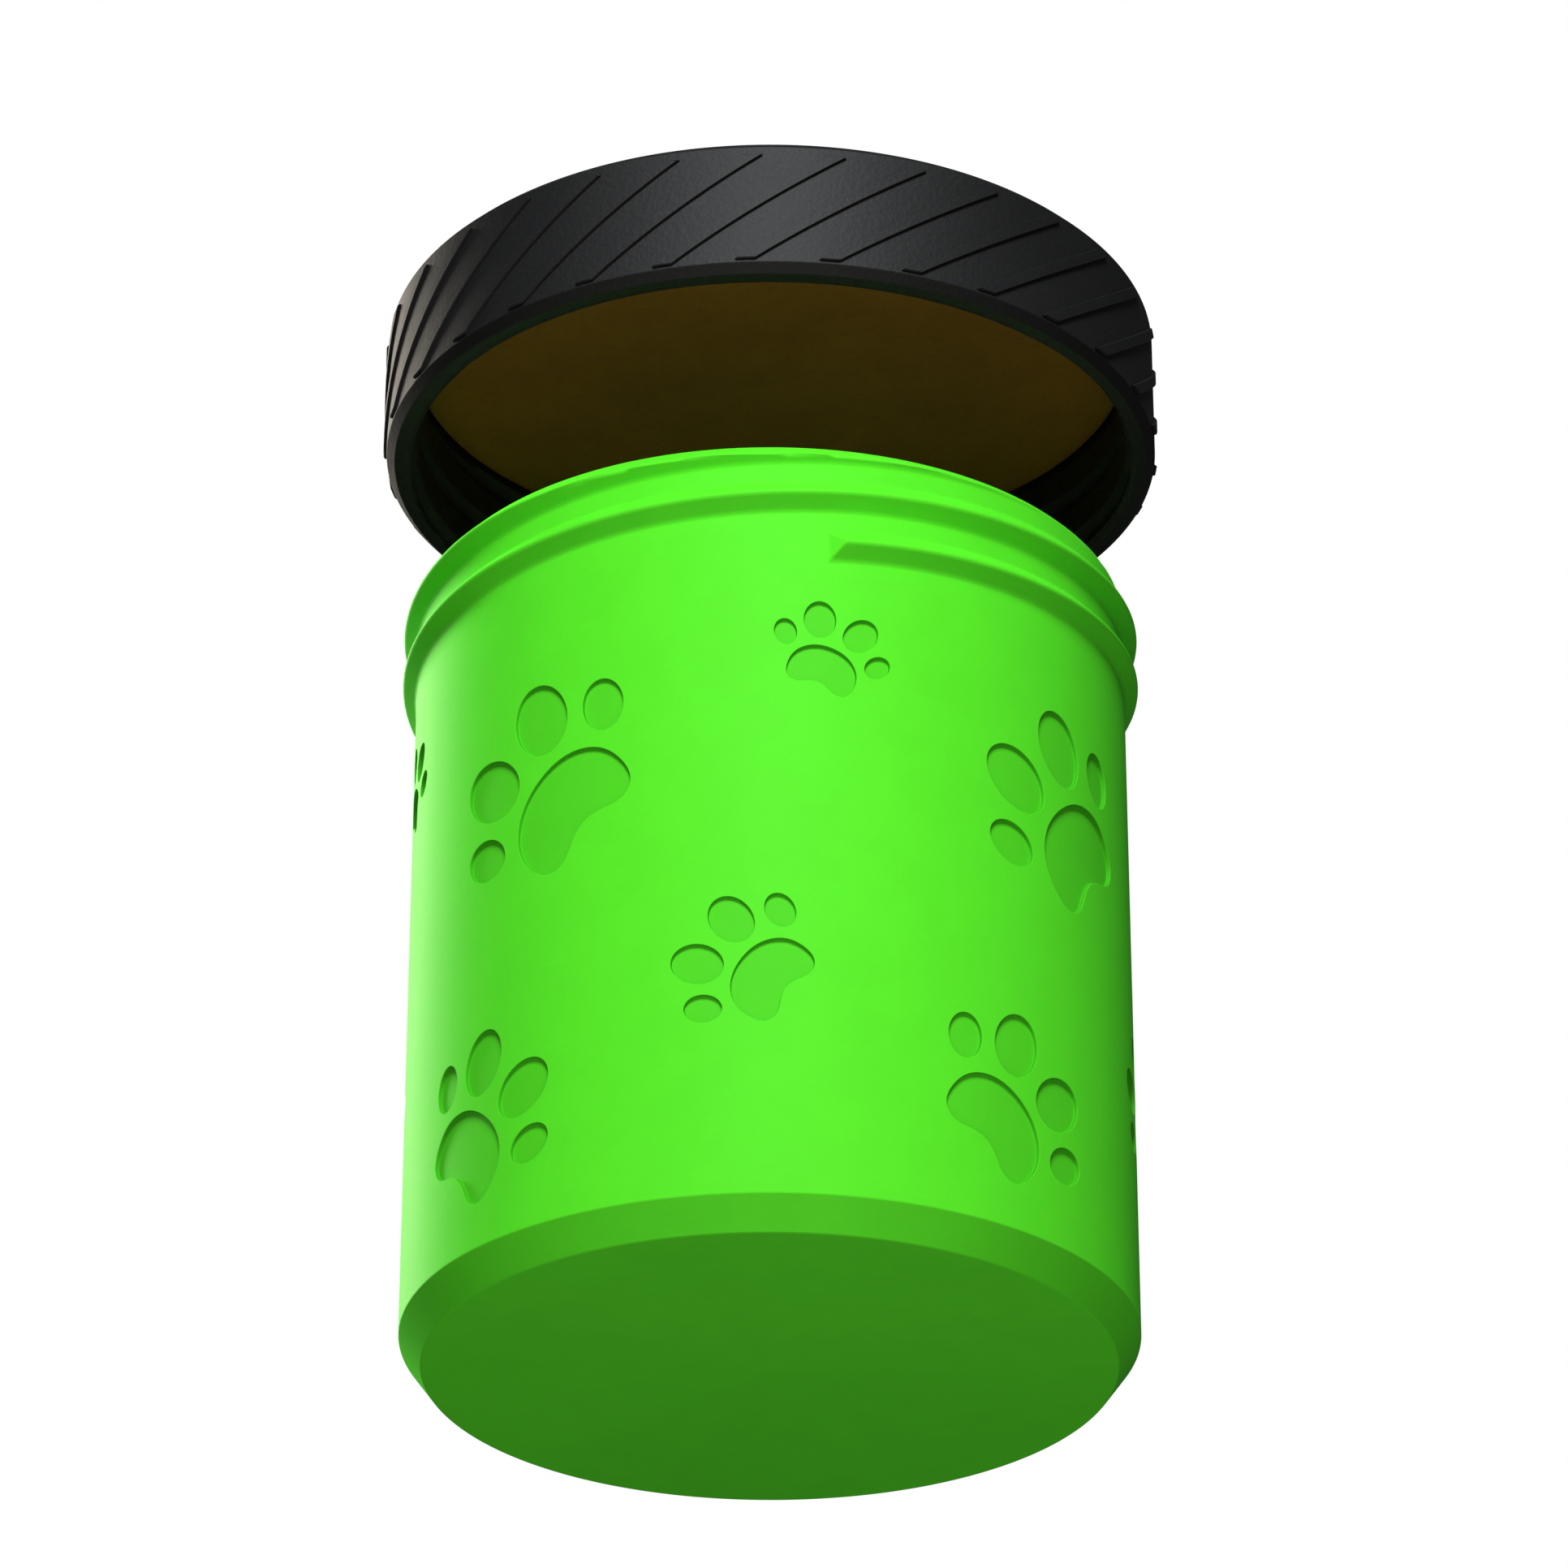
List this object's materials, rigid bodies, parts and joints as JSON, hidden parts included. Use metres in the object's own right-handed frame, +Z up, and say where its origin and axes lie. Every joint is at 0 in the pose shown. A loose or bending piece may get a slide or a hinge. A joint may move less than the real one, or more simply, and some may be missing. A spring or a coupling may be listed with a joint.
{
  "type": "paw washer cup",
  "caption": "Cylindrical cup with recessed paw prints and a screw neck, holding a bristled soft sleeve, with a ribbed screw lid and sealing liner.",
  "frame": {"origin": "centre of the cup's flat underside, on the axis of the cup and of its thread", "axes": "+Z is up along the cup's axis; -Y is the front; +X is to the right seen from the front. The lid is stored unscrewed, lifted clear above the cup on the same axis."},
  "size_m": [0.1004, 0.1004, 0.1447],
  "materials": {
    "cup_green": "satin moulded plastic, bright green",
    "sleeve_silicone": "matt silicone, pale green",
    "lid_black": "fine-textured black plastic",
    "liner_mustard": "matt mustard sealing sheet"
  },
  "bodies": {
    "cup": {"cup_body": "cup_green", "bristle_sleeve": "sleeve_silicone", "sleeve_bristles": "sleeve_silicone"},
    "liner": {"lid_liner": "liner_mustard"},
    "lid": {"lid_shell": "lid_black"}
  },
  "joints": [
    {"name": "lid_lift", "type": "slide", "parent": "cup", "child": "liner", "axis": [0, 0, 1], "range_m": [-0.0384, 0]},
    {"name": "lid_turn", "type": "hinge", "parent": "liner", "child": "lid", "pos_m": [0, 0, 0.1258], "axis": [0, 0, 1], "range_deg": [-1009.03, 0]}
  ],
  "couplings": [
    {"joint": "lid_lift", "follows": "lid_turn", "m_per_rad": 0.0021804}
  ]
}
